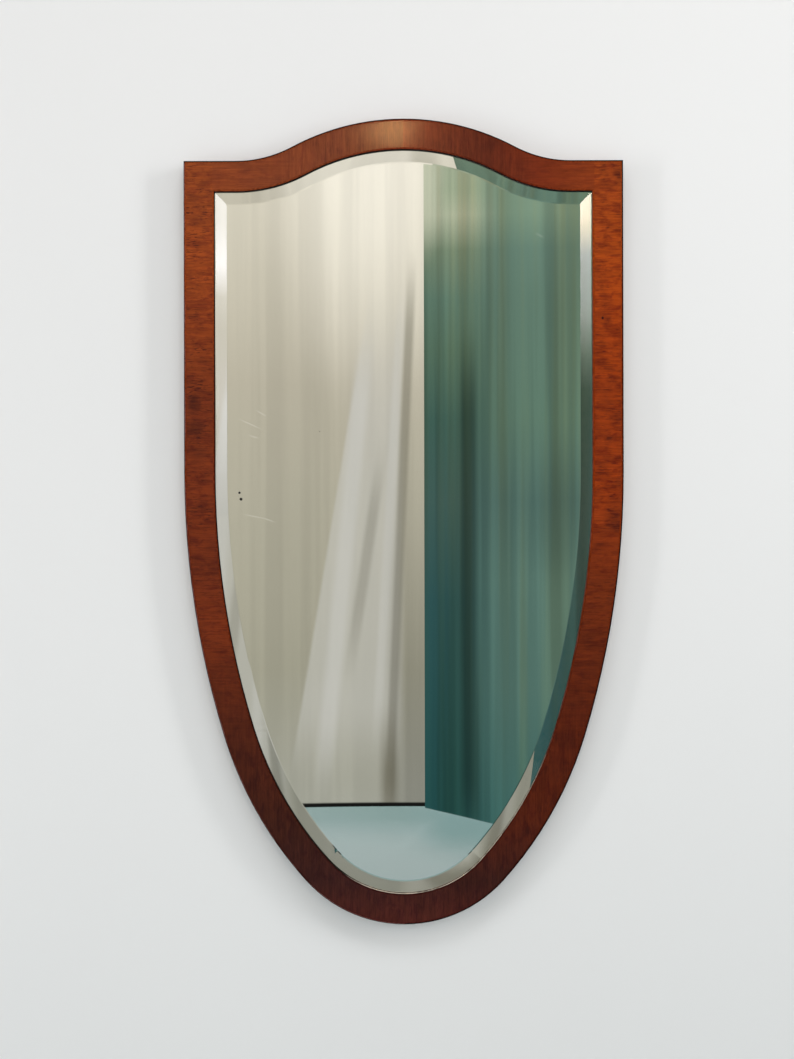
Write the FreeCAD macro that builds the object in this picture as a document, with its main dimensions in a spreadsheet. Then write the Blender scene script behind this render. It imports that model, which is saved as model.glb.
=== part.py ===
"""Shield-shaped wall mirror: a veneered and lipped half-lapped frame, a bevelled plate and a boarded back.

The face looks along -Y and the wall is the plane Y = 0. Lengths are in mm, turns in degrees.
"Stand" is the distance from the wall, so Y = -stand.
"Inset" is the distance in from the outer outline of the shield.
"""
import FreeCAD, Part
import math
import os
import Sketcher

document = FreeCAD.newDocument("ShieldMirror")

# Driving sizes, one cell each
SIZES = {
    # the outline of the shield
    "overall_width": 660,
    "crown_rise": 63,
    "side_length": 468,
    "point_drop": 679,
    "shoulder_flat": 13.5,
    "cove_radius": 180,
    "flank_radius": 572,
    "haunch_turn": 17,
    "toe_turn": 42,
    # the section of the frame
    "face_width": 46.5,
    "frame_depth": 25,
    "face_veneer": 1.5,
    "edge_lipping": 4,
    "edge_round": 3,
    "sight_lipping": 3,
    "sight_round": 1.5,
    "lip_depth": 5,
    "rebate_width": 9,
    # where the ground pieces and the veneers are jointed
    "stile_lap": 60,
    "toe_lap_turn": 12,
    "veneer_joint_drop": 90,
    "peg_diameter": 9,
    "peg_spacing": 30,
    "peg_clearance": 0.05,
    # the plate and what holds it
    "glass_thickness": 6,
    "glass_rim": 2.8,
    "bevel_width": 24.5,
    "glass_clearance": 2.5,
    "seat_clearance": 0.15,
    "silver_thickness": 0.3,
    "block_length": 45,
    "block_width": 8.5,
    "block_setback": 1,
    "shim_length": 30,
    # the back
    "board_thickness": 7,
    "board_width": 190,
    "board_gap": 0.6,
    "board_screw_margin": 32,
    "board_screw_head": 6.4,
    "board_screw_shank": 3.2,
    "board_screw_length": 20,
    "screw_clearance": 0.1,
    "screw_sink": 0.3,
    "screw_slot": 0.9,
    # the hangers
    "hanger_drop": 150,
    "hanger_side_room": 2.5,
    "strap_width": 12,
    "strap_gauge": 1,
    "strap_length": 34,
    "strap_screw_first": 18,
    "strap_screw_pitch": 10,
    "hanger_screw_head": 5.4,
    "hanger_screw_shank": 3,
    "hanger_screw_length": 15,
    "ring_wire": 3,
    "ring_side_play": 1,
    "ring_bend": 2.2,
    "ring_leg": 4,
    "ring_tilt": 6,
    "eye_clearance": 0.2,
}

# What follows from the driving sizes
LAYOUT = {
    "half_width": "Sizes.overall_width / 2",
    "overall_height": "Sizes.crown_rise + Sizes.side_length + Sizes.point_drop",
    "top_z": "Layout.overall_height / 2",
    "base_z": "-Layout.overall_height / 2",
    "shoulder_z": "Layout.top_z - Sizes.crown_rise",
    "haunch_z": "Layout.shoulder_z - Sizes.side_length",
    "rebate_inset": "Sizes.face_width - Sizes.rebate_width",
    "glass_inset": "Layout.rebate_inset + Sizes.glass_clearance",
    "bevel_inset": "Layout.glass_inset + Sizes.bevel_width",
    "veneer_inset": "Sizes.face_width - Sizes.sight_lipping",
    # the crown and the coves are tangent arcs; the shoulders stay straight past the bevel's corner
    "cove_reach": "Layout.half_width - Layout.bevel_inset - Sizes.shoulder_flat",
    "crown_sum": "(Layout.cove_reach ^ 2 + Sizes.crown_rise ^ 2) / (2 * Sizes.crown_rise)",
    "crown_radius": "Layout.crown_sum - Sizes.cove_radius",
    "crown_centre_z": "Layout.top_z - Layout.crown_radius",
    "crown_sine": "Layout.cove_reach / Layout.crown_sum",
    "crown_cosine": "(Layout.crown_sum - Sizes.crown_rise) / Layout.crown_sum",
    # haunch, flank and toe are tangent arcs that reach the axis: two sums, across and down, give two radii
    "haunch_sine": "sin(Sizes.haunch_turn)",
    "haunch_cosine": "cos(Sizes.haunch_turn)",
    "toe_sine": "sin(Sizes.toe_turn)",
    "toe_cosine": "cos(Sizes.toe_turn)",
    "haunch_side": "1 - Layout.haunch_cosine",
    "toe_rest": "1 - Layout.toe_sine",
    "across": "Layout.half_width - Sizes.flank_radius * (Layout.haunch_cosine - Layout.toe_cosine)",
    "down": "Sizes.point_drop - Sizes.flank_radius * (Layout.toe_sine - Layout.haunch_sine)",
    "sums": "Layout.haunch_side * Layout.toe_rest - Layout.toe_cosine * Layout.haunch_sine",
    "haunch_radius": "(Layout.across * Layout.toe_rest - Layout.toe_cosine * Layout.down) / Layout.sums",
    "toe_radius": "(Layout.haunch_side * Layout.down - Layout.haunch_sine * Layout.across) / Layout.sums",
    "haunch_centre_x": "Layout.half_width - Layout.haunch_radius",
    "radius_step": "Layout.haunch_radius - Sizes.flank_radius",
    "flank_centre_x": "Layout.haunch_centre_x + Layout.radius_step * Layout.haunch_cosine",
    "flank_centre_z": "Layout.haunch_z - Layout.radius_step * Layout.haunch_sine",
    "toe_centre_z": "Layout.base_z + Layout.toe_radius",
    # stands of the section
    "frame_back": "Sizes.board_thickness",
    "frame_front": "Sizes.board_thickness + Sizes.frame_depth",
    "core_front": "Layout.frame_front - Sizes.face_veneer",
    "core_depth": "Layout.core_front - Layout.frame_back",
    "lap_stand": "Layout.frame_back + Layout.core_depth / 2",
    "lip_back": "Layout.frame_front - Sizes.lip_depth",
    # the bevel bears on the back of the lip, at the sight edge
    "bevel_drop": "Sizes.glass_thickness - Sizes.glass_rim",
    "bevel_seen": "(Layout.bevel_inset - Sizes.face_width) / Sizes.bevel_width",
    "glass_front": "Layout.lip_back + Layout.bevel_drop * Layout.bevel_seen - Sizes.seat_clearance",
    "glass_rim_front": "Layout.glass_front - Layout.bevel_drop",
    "glass_back": "Layout.glass_front - Sizes.glass_thickness",
    "silver_back": "Layout.glass_back - Sizes.silver_thickness",
    "block_back": "Layout.frame_back + Sizes.block_setback",
    # the hangers lie on the bare margin of the frame's back, outside the boards
    "ring_half": "Sizes.strap_width / 2 + Sizes.ring_side_play + Sizes.ring_wire / 2",
    "back_margin": "2 * Layout.ring_half + Sizes.ring_wire + 2 * Sizes.hanger_side_room",
    "hanger_x": "Layout.half_width - Layout.back_margin / 2",
    "hanger_z": "Layout.shoulder_z - Sizes.hanger_drop",
    "screw_inset": "(Layout.back_margin + Layout.rebate_inset) / 2",
    "eye_bore": "Sizes.ring_wire / 2 + Sizes.eye_clearance",
    "eye_radius": "Layout.eye_bore + Sizes.strap_gauge",
    "eye_stand": "Layout.frame_back - Layout.eye_radius",
    "tab_thickness": "2 * Sizes.strap_gauge",
    "peg_inset": "(Sizes.edge_lipping + Layout.rebate_inset) / 2",
}


def add_sheet(name, cells):
    """A sheet with one aliased cell to each named value."""
    sheet = document.addObject("Spreadsheet::Sheet", name)
    for row, (alias, content) in enumerate(cells.items(), start=1):
        sheet.set(f"A{row}", alias)
        sheet.set(f"B{row}", content if isinstance(content, str) else str(content))
        sheet.setAlias(f"B{row}", alias)
    return sheet


sizes = add_sheet("Sizes", SIZES)
layout = add_sheet("Layout", {alias: "=" + formula for alias, formula in LAYOUT.items()})
document.recompute()


def value(expression):
    """The number that an expression on the two sheets comes to."""
    return float(layout.evalExpression(str(expression)))


def bind(feature, **expressions):
    """Binds properties of a feature to expressions on the sheets."""
    for name, expression in expressions.items():
        feature.setExpression(name, str(expression))


def place(feature, x="0", stand="0", z="0"):
    """Binds where a feature stands."""
    feature.setExpression("Placement.Base.x", str(x))
    feature.setExpression("Placement.Base.y", f"-({stand})")
    feature.setExpression("Placement.Base.z", str(z))


# Sketches: closed outlines whose corners and radii are bound to the sheets


def line_to(x, y):
    """A straight run to a corner."""
    return {"to": (x, y)}


def arc_to(x, y, radius, centre, turn):
    """An arc; turn is +1 anticlockwise and -1 clockwise. The centre only says on which side the arc lies."""
    return {"to": (x, y), "radius": radius, "centre": centre, "turn": turn}


def draw_outline(sketch, tag, steps):
    """A closed outline that starts and ends at the last step's corner."""
    corner = steps[-1]["to"]
    pieces = []
    for step in steps:
        start = FreeCAD.Vector(value(corner[0]), value(corner[1]), 0)
        end = FreeCAD.Vector(value(step["to"][0]), value(step["to"][1]), 0)
        if "radius" in step:
            centre = FreeCAD.Vector(value(step["centre"][0]), value(step["centre"][1]), 0)
            first, last = (start, end) if step["turn"] > 0 else (end, start)
            angles = [math.atan2(point.y - centre.y, point.x - centre.x) for point in (first, last)]
            if angles[1] <= angles[0]:
                angles[1] += 2 * math.pi
            circle = Part.Circle(centre, FreeCAD.Vector(0, 0, 1), value(step["radius"]))
            geometry = sketch.addGeometry(Part.ArcOfCircle(circle, angles[0], angles[1]), False)
            ends = (1, 2) if step["turn"] > 0 else (2, 1)
        else:
            geometry = sketch.addGeometry(Part.LineSegment(start, end), False)
            ends = (1, 2)
        pieces.append((geometry, ends, corner, step.get("radius")))
        corner = step["to"]
    for number, (geometry, ends, corner, radius) in enumerate(pieces):
        before, before_ends = pieces[number - 1][:2]
        sketch.addConstraint(Sketcher.Constraint("Coincident", before, before_ends[1], geometry, ends[0]))
        dimension(sketch, f"{tag}_x{number}", ("DistanceX", geometry, ends[0]), corner[0])
        dimension(sketch, f"{tag}_y{number}", ("DistanceY", geometry, ends[0]), corner[1])
        if radius:
            dimension(sketch, f"{tag}_r{number}", ("Radius", geometry), radius)


def draw_circle(sketch, tag, radius, x="0", y="0"):
    """A full circle."""
    centre = FreeCAD.Vector(value(x), value(y), 0)
    circle = sketch.addGeometry(Part.Circle(centre, FreeCAD.Vector(0, 0, 1), value(radius)), False)
    dimension(sketch, f"{tag}_x", ("DistanceX", circle, 3), x)
    dimension(sketch, f"{tag}_y", ("DistanceY", circle, 3), y)
    dimension(sketch, f"{tag}_r", ("Radius", circle), radius)


def dimension(sketch, name, reference, expression):
    """A named constraint bound to an expression."""
    index = sketch.addConstraint(Sketcher.Constraint(*reference, value(expression)))
    sketch.renameConstraint(index, name)
    sketch.setExpression(f"Constraints.{name}", str(expression))


def mirrored(x):
    return f"-({x})"


def shield(inset):
    """The shield's outline at an inset, from the crown's right end and round by the right side."""
    crown = f"(Layout.crown_radius - ({inset}))"
    haunch = f"(Layout.haunch_radius - ({inset}))"
    flank = f"(Sizes.flank_radius - ({inset}))"
    toe = f"(Layout.toe_radius - ({inset}))"
    cove = f"(Sizes.cove_radius + ({inset}))"
    side = f"Layout.half_width - ({inset})"
    shoulder = f"Layout.shoulder_z - ({inset})"
    crown_end = (f"Layout.crown_sine * {crown}", f"Layout.crown_centre_z + Layout.crown_cosine * {crown}")
    haunch_end = (f"Layout.haunch_centre_x + Layout.haunch_cosine * {haunch}",
                  f"Layout.haunch_z - Layout.haunch_sine * {haunch}")
    flank_end = (f"Layout.toe_cosine * {toe}", f"Layout.toe_centre_z - Layout.toe_sine * {toe}")
    cove_top = "Layout.shoulder_z + Sizes.cove_radius"
    return [
        arc_to("Layout.cove_reach", shoulder, cove, ("Layout.cove_reach", cove_top), 1),
        line_to(side, shoulder),
        line_to(side, "Layout.haunch_z"),
        arc_to(*haunch_end, haunch, ("Layout.haunch_centre_x", "Layout.haunch_z"), -1),
        arc_to(*flank_end, flank, ("Layout.flank_centre_x", "Layout.flank_centre_z"), -1),
        arc_to(mirrored(flank_end[0]), flank_end[1], toe, ("0", "Layout.toe_centre_z"), -1),
        arc_to(mirrored(haunch_end[0]), haunch_end[1], flank,
               ("-Layout.flank_centre_x", "Layout.flank_centre_z"), -1),
        arc_to(mirrored(side), "Layout.haunch_z", haunch,
               ("-Layout.haunch_centre_x", "Layout.haunch_z"), -1),
        line_to(mirrored(side), shoulder),
        line_to("-Layout.cove_reach", shoulder),
        arc_to(mirrored(crown_end[0]), crown_end[1], cove, ("-Layout.cove_reach", cove_top), 1),
        arc_to(*crown_end, crown, ("0", "Layout.crown_centre_z"), -1),
    ]


def upright_sketch(name, stand):
    """A sketch parallel to the wall, seen from the front."""
    sketch = document.addObject("Sketcher::SketchObject", name)
    sketch.Placement = FreeCAD.Placement(FreeCAD.Vector(), FreeCAD.Rotation(FreeCAD.Vector(1, 0, 0), 90))
    place(sketch, stand=stand)
    return sketch


def extrude(name, sketch, depth):
    """A solid from a sketch, towards the viewer."""
    solid = document.addObject("Part::Extrusion", name)
    solid.Base = sketch
    solid.DirMode = "Normal"
    solid.FaceMakerClass = "Part::FaceMakerBullseye"
    solid.Solid = True
    bind(solid, LengthFwd=depth)
    return solid


def shield_slab(name, inset, back, front):
    """The whole shield at an inset, between two stands."""
    sketch = upright_sketch(name + "_sketch", back)
    draw_outline(sketch, "outline", shield(inset))
    return extrude(name, sketch, f"{front} - ({back})")


def shield_ring(name, outer, inner, back, front):
    """The band between two insets, between two stands."""
    sketch = upright_sketch(name + "_sketch", back)
    draw_outline(sketch, "outer", shield(outer))
    draw_outline(sketch, "inner", shield(inner))
    return extrude(name, sketch, f"{front} - ({back})")


def box(name, left, right, low, high, back, front):
    """A plain block between two values of X, of Z and of stand."""
    block = document.addObject("Part::Box", name)
    bind(block, Length=f"{right} - ({left})", Width=f"{front} - ({back})", Height=f"{high} - ({low})")
    place(block, left, front, low)
    return block


def fuse(name, pieces):
    joined = document.addObject("Part::MultiFuse", name)
    joined.Shapes = pieces
    return joined


def keep(name, base, region):
    """What of the base lies in the region."""
    common = document.addObject("Part::Common", name)
    common.Base = base
    common.Tool = region
    return common


def remove(name, base, tool):
    """The base with the tool cut out of it."""
    cut = document.addObject("Part::Cut", name)
    cut.Base = base
    cut.Tool = tool
    return cut


# Limits that lie outside every piece
LEFT, RIGHT = "-Sizes.overall_width", "Sizes.overall_width"
LOW, HIGH = "-Layout.overall_height", "Layout.overall_height"
WALL, FRONT = "0", "Layout.frame_front + Sizes.frame_depth"
SIDES = {"left": (LEFT, "0"), "right": ("0", RIGHT)}

# Screws and pegs: where they stand, as points on an inset outline


def on_crest(distance, inset):
    """A point on the top at a distance from the axis, on the crown, the cove or the shoulder."""
    across = value(distance)
    crown = value(f"Layout.crown_radius - {inset}")
    cove = value(f"Sizes.cove_radius + {inset}")
    short = value("Layout.cove_reach") - across
    if across <= value("Layout.crown_sine") * crown:
        return across, value("Layout.crown_centre_z") + math.sqrt(crown ** 2 - across ** 2)
    if short > 0:
        return across, value("Layout.shoulder_z + Sizes.cove_radius") - math.sqrt(cove ** 2 - short ** 2)
    return across, value(f"Layout.shoulder_z - {inset}")


def on_side(share, inset):
    """A point on the straight side, as a share of the way down it from the shoulder at that inset."""
    high = value(f"Layout.shoulder_z - {inset}")
    low = value("Layout.haunch_z")
    return value(f"Layout.half_width - {inset}"), high + (low - high) * share


def on_haunch(share, inset):
    radius = value(f"Layout.haunch_radius - {inset}")
    angle = math.radians(value("Sizes.haunch_turn") * share)
    across = value("Layout.haunch_centre_x") + radius * math.cos(angle)
    return across, value("Layout.haunch_z") - radius * math.sin(angle)


def on_flank(share, inset):
    radius = value(f"Sizes.flank_radius - {inset}")
    start = value("Sizes.haunch_turn")
    angle = math.radians(start + (value("Sizes.toe_turn") - start) * share)
    across = value("Layout.flank_centre_x") + radius * math.cos(angle)
    return across, value("Layout.flank_centre_z") - radius * math.sin(angle)


def on_toe(turn, inset):
    radius = value(f"Layout.toe_radius - {inset}")
    angle = math.radians(turn)
    return radius * math.sin(angle), value("Layout.toe_centre_z") - radius * math.cos(angle)


def both_sides(points):
    return points + [(-x, z) for x, z in points]


def at_points(name, piece, points, stand):
    """Copies of one piece at several points, as one group of separate solids."""
    group = document.addObject("Part::Feature", name)
    copies = []
    for x, z in points:
        copy = piece.Shape.copy()
        copy.Placement = FreeCAD.Placement(FreeCAD.Vector(x, -value(stand), z), FreeCAD.Rotation())
        copies.append(copy)
    group.Shape = Part.makeCompound(copies)
    return group


def turned_body(name, outline):
    """A piece turned about an axis square to the wall; its outline is radius against depth from the wall."""
    body = document.addObject("PartDesign::Body", name)
    sketch = body.newObject("Sketcher::SketchObject", name + "_sketch")
    plane = next(feature for feature in body.Origin.OriginFeatures if feature.Role == "XY_Plane")
    sketch.AttachmentSupport = (plane, "")
    sketch.MapMode = "FlatFace"
    draw_outline(sketch, "outline", outline)
    turned = body.newObject("PartDesign::Revolution", name + "_turned")
    turned.Profile = sketch
    turned.ReferenceAxis = (sketch, ["V_Axis"])
    turned.Angle = 360
    body.Tip = turned
    return body


def countersunk_outline(head, shank, length, grown="0"):
    """Half the outline of a countersunk wood screw, its head towards the wall."""
    head_radius = f"({head} / 2 + {grown})"
    shank_radius = f"({shank} / 2 + {grown})"
    return [
        line_to(head_radius, "0"),
        line_to(shank_radius, f"-({head} - {shank}) / 2"),
        line_to(shank_radius, f"-({length} - {shank})"),
        line_to("0", f"-({length} + {grown})"),
        line_to("0", "0"),
    ]


def countersunk_screw(name, head, shank, length):
    """A slotted screw, its head sunk below the face it sits in."""
    blank = turned_body(name + "_blank", countersunk_outline(head, shank, length))
    slot = document.addObject("Part::Box", name + "_slot")
    bind(slot, Length=head, Width="Sizes.screw_slot", Height="Sizes.screw_slot")
    place(slot, f"-{head} / 2", "Sizes.screw_slot", "-Sizes.screw_slot / 2")
    return remove(name, blank, slot)


def screw_hole(name, head, shank, length):
    """The room that a countersunk screw is cut, as deep as its head is sunk."""
    bore = turned_body(name + "_bore", countersunk_outline(head, shank, length, "Sizes.screw_clearance"))
    mouth = document.addObject("Part::Cylinder", name + "_mouth")
    bind(mouth, Radius=f"{head} / 2 + Sizes.screw_clearance", Height="Sizes.screw_sink")
    mouth.Placement = FreeCAD.Placement(FreeCAD.Vector(), FreeCAD.Rotation(FreeCAD.Vector(1, 0, 0), -90))
    return fuse(name, [bore, mouth])


BOARD_SCREW = ("Sizes.board_screw_head", "Sizes.board_screw_shank", "Sizes.board_screw_length")
HANGER_SCREW = ("Sizes.hanger_screw_head", "Sizes.hanger_screw_shank", "Sizes.hanger_screw_length")
board_screw = countersunk_screw("board_screw", *BOARD_SCREW)
board_screw_hole = screw_hole("board_screw_hole", *BOARD_SCREW)
hanger_screw = countersunk_screw("hanger_screw", *HANGER_SCREW)
hanger_screw_hole = screw_hole("hanger_screw_hole", *HANGER_SCREW)

peg = document.addObject("Part::Cylinder", "peg")
bind(peg, Radius="Sizes.peg_diameter / 2", Height="Layout.core_depth")
peg_hole = document.addObject("Part::Cylinder", "peg_hole")
bind(peg_hole, Radius="Sizes.peg_diameter / 2 + Sizes.peg_clearance", Height="Layout.core_depth")
for pin in (peg, peg_hole):
    pin.Placement = FreeCAD.Placement(FreeCAD.Vector(), FreeCAD.Rotation(FreeCAD.Vector(1, 0, 0), 90))
document.recompute()


def standing(piece):
    """A turned or drawn pin as a plain shape with its own placement taken into its geometry."""
    feature = document.addObject("Part::Feature", piece.Name + "_standing")
    feature.Shape = Part.makeCompound([piece.Shape])
    return feature


screw_inset = "Layout.screw_inset"
board_screw_points = both_sides([
    on_crest("Sizes.board_width / 2 - Sizes.board_screw_margin", screw_inset),
    on_crest("Sizes.board_width / 2 + Sizes.board_screw_margin", screw_inset),
    on_side(0.06, screw_inset),
    on_side(0.35, screw_inset),
    on_side(0.68, screw_inset),
    on_haunch(0.25, screw_inset),
    on_haunch(0.8, screw_inset),
    on_flank(0.35, screw_inset),
    on_flank(0.8, screw_inset),
    on_toe(18, screw_inset),
])
board_screws = at_points("back_board_screws", board_screw, board_screw_points, "Sizes.screw_sink")
board_screw_holes = at_points("board_screw_holes", board_screw_hole, board_screw_points, "Sizes.screw_sink")

hanger_screw_points = both_sides([
    (value("Layout.hanger_x"), value("Layout.hanger_z - Sizes.strap_screw_first")),
    (value("Layout.hanger_x"), value("Layout.hanger_z - Sizes.strap_screw_first - Sizes.strap_screw_pitch")),
])
head_stand = "Layout.frame_back - Layout.tab_thickness + Sizes.screw_sink / 2"
hanger_screws = at_points("hanger_screws", hanger_screw, hanger_screw_points, head_stand)
hanger_screw_holes = at_points("hanger_screw_holes", hanger_screw_hole, hanger_screw_points, head_stand)

corner_point = (value("Layout.half_width - Layout.peg_inset"), value("Layout.shoulder_z - Layout.peg_inset"))
lap_x = value("Layout.half_width - Layout.peg_inset")
lap_points = [(lap_x, value(f"Layout.haunch_z + Sizes.peg_spacing * {share}")) for share in (0.5, -0.5)]
toe_point = on_toe(90 - value("Sizes.toe_turn"), "Layout.peg_inset")
peg_points = both_sides([corner_point, *lap_points, toe_point])
lap_pegs = at_points("lap_pegs", standing(peg), peg_points, "Layout.frame_back")
peg_holes = at_points("peg_holes", standing(peg_hole), peg_points, "Layout.frame_back")

# Ground frame: six pieces half-lapped to each other, rebated behind for the plate

lip_ring = shield_ring("lip_ring", "Sizes.edge_lipping", "Layout.veneer_inset", "Layout.lip_back",
                       "Layout.core_front")
wall_ring = shield_ring("wall_ring", "Sizes.edge_lipping", "Layout.rebate_inset", "Layout.frame_back",
                        "Layout.lip_back")
ground_blank = fuse("ground_blank", [lip_ring, wall_ring])
ground_holes = fuse("ground_holes", [board_screw_holes, hanger_screw_holes, peg_holes])
ground = remove("ground", ground_blank, ground_holes)

BACK_HALF = (WALL, "Layout.lap_stand")
FRONT_HALF = ("Layout.lap_stand", FRONT)
rail_line = "Layout.shoulder_z - Layout.veneer_inset"
stile_line = "Layout.half_width - Layout.rebate_inset"
lap_high = "Layout.haunch_z + Sizes.stile_lap / 2"
lap_low = "Layout.haunch_z - Sizes.stile_lap / 2"

top_rail_region = fuse("top_rail_region", [
    box("rail_front", LEFT, RIGHT, rail_line, HIGH, *FRONT_HALF),
    box("rail_back", mirrored(stile_line), stile_line, "Layout.haunch_z", HIGH, *BACK_HALF),
])
top_rail = keep("top_rail", ground, top_rail_region)


def toe_wedge(name, turn, back, front):
    """The sector below the toe's centre, to a turn each side of straight down."""
    reach = "1.3 * Layout.toe_radius"
    sketch = upright_sketch(name + "_sketch", back)
    draw_outline(sketch, "wedge", [
        line_to(f"{reach} * tan({turn})", f"Layout.toe_centre_z - {reach}"),
        line_to(f"-{reach} * tan({turn})", f"Layout.toe_centre_z - {reach}"),
        line_to("0", "Layout.toe_centre_z"),
    ])
    return extrude(name, sketch, f"{front} - ({back})")


toe_region = fuse("toe_region", [
    toe_wedge("toe_front", "90 - Sizes.toe_turn - Sizes.toe_lap_turn / 2", *FRONT_HALF),
    toe_wedge("toe_back", "90 - Sizes.toe_turn + Sizes.toe_lap_turn / 2", *BACK_HALF),
])
toe_piece = keep("toe_piece", ground, toe_region)
above_toe = remove("above_toe", ground, toe_region)

ground_pieces = [top_rail, toe_piece]
for side, (start, end) in SIDES.items():
    outer_start, outer_end = (start, mirrored(stile_line)) if side == "left" else (stile_line, end)
    stile_region = fuse(f"stile_region_{side}", [
        box(f"stile_front_{side}", start, end, lap_high, rail_line, *FRONT_HALF),
        box(f"stile_back_{side}", outer_start, outer_end, "Layout.haunch_z", HIGH, *BACK_HALF),
        box(f"stile_tongue_{side}", start, end, lap_low, "Layout.haunch_z", *BACK_HALF),
    ])
    haunch_region = fuse(f"haunch_region_{side}", [
        box(f"haunch_front_{side}", start, end, LOW, lap_high, *FRONT_HALF),
        box(f"haunch_back_{side}", start, end, LOW, lap_low, *BACK_HALF),
    ])
    ground_pieces.append(keep(f"stile_{side}", ground, stile_region))
    ground_pieces.append(keep(f"haunch_{side}", above_toe, haunch_region))

# Face veneers: book-matched crest, through stiles, and lower lengths that meet at the point

veneer_ring = shield_ring("veneer_ring", "Sizes.edge_lipping", "Layout.veneer_inset", "Layout.core_front",
                          "Layout.frame_front")
veneer_line = "Layout.half_width - Layout.veneer_inset"
veneer_joint = "Layout.haunch_z - Sizes.veneer_joint_drop"
veneers = []
for side, (start, end) in SIDES.items():
    inner_start, inner_end = (mirrored(veneer_line), "0") if side == "left" else ("0", veneer_line)
    outer_start, outer_end = (start, mirrored(veneer_line)) if side == "left" else (veneer_line, end)
    crest_region = box(f"crest_region_{side}", inner_start, inner_end, "Layout.haunch_z", HIGH, WALL, FRONT)
    stile_region = fuse(f"stile_veneer_region_{side}", [
        box(f"stile_veneer_high_{side}", outer_start, outer_end, "Layout.haunch_z", HIGH, WALL, FRONT),
        box(f"stile_veneer_low_{side}", start, end, veneer_joint, "Layout.haunch_z", WALL, FRONT),
    ])
    lower_region = box(f"lower_region_{side}", start, end, LOW, veneer_joint, WALL, FRONT)
    veneers.append(keep(f"crest_veneer_{side}", veneer_ring, crest_region))
    veneers.append(keep(f"stile_veneer_{side}", veneer_ring, stile_region))
    veneers.append(keep(f"lower_veneer_{side}", veneer_ring, lower_region))

# Lippings: bent strips glued round the outer edge and the sight edge, with the front arris rounded over


def round_front(name, ring, inset, radius):
    """The ring with the front edges that lie on one inset outline rounded over."""
    document.recompute()
    outline = shield_slab(name + "_outline", inset, "Layout.frame_front", "Layout.frame_front + 1")
    document.recompute()
    front = -value("Layout.frame_front")
    loop = [edge for edge in outline.Shape.Edges if abs(edge.CenterOfMass.y - front) < 1e-6]
    middles = [edge.valueAt(sum(edge.ParameterRange) / 2) for edge in loop]
    fillet = document.addObject("Part::Fillet", name)
    fillet.Base = ring
    size = value(radius)
    chosen = []
    for number, edge in enumerate(ring.Shape.Edges, start=1):
        middle = edge.valueAt(sum(edge.ParameterRange) / 2)
        if any(middle.distanceToPoint(point) < 0.01 for point in middles):
            chosen.append((number, size, size))
    fillet.Edges = chosen
    return fillet


edge_ring = shield_ring("edge_ring", "0", "Sizes.edge_lipping", "Layout.frame_back", "Layout.frame_front")
edge_rounded = round_front("edge_rounded", edge_ring, "0", "Sizes.edge_round")
sight_ring = shield_ring("sight_ring", "Layout.veneer_inset", "Sizes.face_width", "Layout.lip_back",
                         "Layout.frame_front")
sight_rounded = round_front("sight_rounded", sight_ring, "Sizes.face_width", "Sizes.sight_round")

lippings = []
for name, ring, line in (("edge_lipping", edge_rounded, "Layout.shoulder_z - Sizes.edge_lipping"),
                         ("sight_lipping", sight_rounded, "Layout.shoulder_z - Sizes.face_width")):
    top_region = box(f"{name}_region_top", LEFT, RIGHT, line, HIGH, WALL, FRONT)
    lippings.append(keep(f"{name}_top", ring, top_region))
    for side, (start, end) in SIDES.items():
        region = box(f"{name}_region_{side}", start, end, LOW, line, WALL, FRONT)
        lippings.append(keep(f"{name}_{side}", ring, region))

# Mirror plate: float-flat plate with a ground bevel, silvered behind

rim_slab = shield_slab("rim_slab", "Layout.glass_inset", "Layout.glass_back", "Layout.glass_rim_front")
rim_sketch = upright_sketch("rim_sketch", "Layout.glass_rim_front")
draw_outline(rim_sketch, "outline", shield("Layout.glass_inset"))
bevel_sketch = upright_sketch("bevel_sketch", "Layout.glass_front")
draw_outline(bevel_sketch, "outline", shield("Layout.bevel_inset"))
bevel = document.addObject("Part::Loft", "bevel")
bevel.Sections = [rim_sketch, bevel_sketch]
bevel.Solid = True
bevel.Ruled = True
mirror_glass = fuse("mirror_glass", [rim_slab, bevel])
silvering = shield_slab("silvering", "Layout.glass_inset", "Layout.silver_back", "Layout.glass_back")

# Shims between the plate's edge and the rebate, and wedge blocks glued behind the plate


def spread(name, ring, spans):
    """Short lengths of a ring, each between two values of X and of Z, as one group of separate solids."""
    boxes = [box(f"{name}_at_{number}", *span, WALL, FRONT) for number, span in enumerate(spans)]
    return keep(name, ring, fuse(f"{name}_places", boxes))


def up_the_side(heights, length):
    """Spans on both sides of the frame, centred on the given heights."""
    spans = []
    for start, end in SIDES.values():
        spans += [(start, end, f"{height} - {length} / 2", f"{height} + {length} / 2") for height in heights]
    return spans


def across_the_axis(distances, length, low, high):
    """Spans across the top or the toe, centred on the given distances from the axis."""
    return [(f"{middle} - {length} / 2", f"{middle} + {length} / 2", low, high) for middle in distances]


shim_ring = shield_ring("shim_ring", "Layout.rebate_inset", "Layout.glass_inset", "Layout.glass_back",
                        "Layout.glass_rim_front")
shims = spread("plate_shims", shim_ring,
               up_the_side(["Layout.haunch_z + Sizes.side_length / 2"], "Sizes.shim_length")
               + across_the_axis(["-Layout.toe_radius / 3", "Layout.toe_radius / 3"], "Sizes.shim_length",
                                 LOW, "Layout.toe_centre_z"))

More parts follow.
